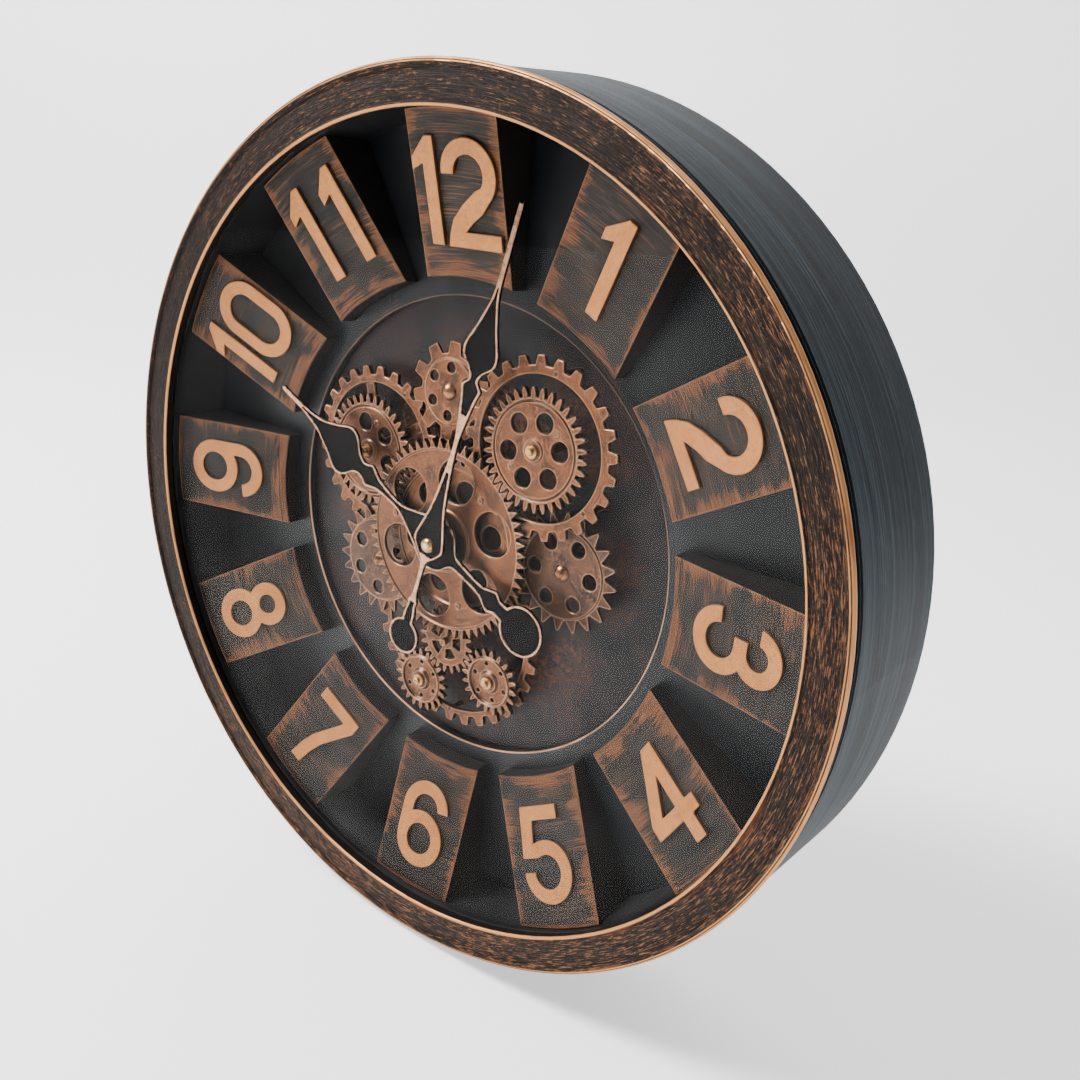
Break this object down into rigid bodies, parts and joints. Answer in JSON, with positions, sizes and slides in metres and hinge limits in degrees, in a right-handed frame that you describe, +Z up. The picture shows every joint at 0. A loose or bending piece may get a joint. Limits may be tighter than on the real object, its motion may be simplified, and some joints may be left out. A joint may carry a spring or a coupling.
{
  "type": "gear wall clock",
  "caption": "Round wall clock in worn copper and black: raised numbers on sloping blocks round a sunken centre of meshing gears that turn, with spade hands, behind glass",
  "frame": {"origin": "centre of the bounding box, on the axis of the hands, halfway between the wall and the front of the rim", "axes": "+X to the viewer's right, +Y from the viewer into the wall, +Z up towards twelve o'clock"},
  "size_m": [0.468, 0.085, 0.468],
  "materials": {
    "case_paint": "satin",
    "rim_bronze": "satin",
    "clear_glass": "gloss",
    "gasket_rubber": "matte",
    "dial_black": "satin",
    "block_bronze": "satin",
    "number_copper": "satin",
    "plate_black": "satin",
    "gear_copper": "satin",
    "gear_dark": "satin",
    "hand_black": "satin",
    "hand_copper": "satin",
    "brass": "polished",
    "steel": "satin",
    "cover_black": "matte",
    "works_black": "matte",
    "cell_jacket": "gloss"
  },
  "bodies": {
    "clock": {"case_shell": "case_paint", "bezel": "rim_bronze", "glass_lens": "clear_glass", "lens_gasket": "gasket_rubber", "dial_ring": "dial_black", "side_band": "dial_black", "number_blocks": "block_bronze", "numeral_1": "number_copper", "numeral_2": "number_copper", "numeral_3": "number_copper", "numeral_4": "number_copper", "numeral_5": "number_copper", "numeral_6": "number_copper", "numeral_7": "number_copper", "numeral_8": "number_copper", "numeral_9": "number_copper", "numeral_10": "number_copper", "numeral_11": "number_copper", "numeral_12": "number_copper", "gear_plate": "plate_black", "inner_screws": "steel", "rear_cover": "cover_black", "cover_screws": "steel", "hanger_plate": "steel", "hanger_rivets": "steel", "movement_box": "works_black", "movement_bush": "brass", "bush_nuts": "brass", "batteries": "cell_jacket", "battery_contacts": "steel", "drive_box": "works_black", "pinion_bush": "brass", "gear_posts": "gear_dark", "gear_studs": "brass", "stud_nuts": "steel", "upper_right_ring": "gear_copper", "upper_left_ring": "gear_copper", "bottom_ring": "gear_copper", "right_star_gear": "gear_dark", "left_star_gear": "gear_dark", "top_gear": "gear_copper", "spacer_posts": "gear_dark", "dome_rivets": "brass"},
    "centre_wheels": {"centre_sleeve": "brass", "centre_gear": "gear_copper", "lower_wheel": "gear_copper"},
    "hour": {"hour_tube": "brass", "hour_hand": "hand_black", "hour_hand_rim": "hand_copper"},
    "minute": {"minute_arbor": "steel", "minute_hand": "hand_black", "minute_hand_rim": "hand_copper", "hand_nut": "brass"},
    "setting": {"set_knob": "works_black"},
    "pinion": {"pinion_arbor": "steel", "pinion_gear": "gear_copper"},
    "upper_right": {"upper_right_gear": "gear_copper"},
    "upper_left": {"upper_left_gear": "gear_copper"},
    "bottom_left": {"bottom_left_gear": "gear_copper"},
    "bottom_right": {"bottom_right_gear": "gear_copper"}
  },
  "joints": [
    {"name": "minute_turn", "type": "hinge", "parent": "clock", "child": "minute", "pos_m": [0, 0, 0], "axis": [0, 1, 0], "continuous": true},
    {"name": "hour_turn", "type": "hinge", "parent": "clock", "child": "hour", "pos_m": [0, 0, 0], "axis": [0, 1, 0], "continuous": true},
    {"name": "knob_turn", "type": "hinge", "parent": "clock", "child": "setting", "pos_m": [0.00848, 0, 0.00848], "axis": [0, 1, 0], "continuous": true},
    {"name": "centre_turn", "type": "hinge", "parent": "clock", "child": "centre_wheels", "pos_m": [0, 0, 0], "axis": [0, 1, 0], "continuous": true},
    {"name": "upper_right_turn", "type": "hinge", "parent": "clock", "child": "upper_right", "pos_m": [0.05373, 0, 0.06041], "axis": [0, 1, 0], "continuous": true},
    {"name": "upper_left_turn", "type": "hinge", "parent": "clock", "child": "upper_left", "pos_m": [-0.06352, 0, 0.03442], "axis": [0, 1, 0], "continuous": true},
    {"name": "pinion_turn", "type": "hinge", "parent": "clock", "child": "pinion", "pos_m": [0.00032, 0, -0.0602], "axis": [0, 1, 0], "continuous": true},
    {"name": "bottom_left_turn", "type": "hinge", "parent": "clock", "child": "bottom_left", "pos_m": [-0.01689, 0, -0.08999], "axis": [0, 1, 0], "continuous": true},
    {"name": "bottom_right_turn", "type": "hinge", "parent": "clock", "child": "bottom_right", "pos_m": [0.03186, 0, -0.07392], "axis": [0, 1, 0], "continuous": true}
  ],
  "couplings": [
    {"joint": "hour_turn", "follows": "minute_turn", "ratio": 0.083333},
    {"joint": "knob_turn", "follows": "minute_turn", "ratio": -0.33333},
    {"joint": "upper_right_turn", "follows": "centre_turn", "ratio": -1.7647},
    {"joint": "upper_left_turn", "follows": "centre_turn", "ratio": -1.4706},
    {"joint": "pinion_turn", "follows": "centre_turn", "ratio": -2.5},
    {"joint": "bottom_left_turn", "follows": "centre_turn", "ratio": 2.5},
    {"joint": "bottom_right_turn", "follows": "centre_turn", "ratio": 2.5}
  ]
}
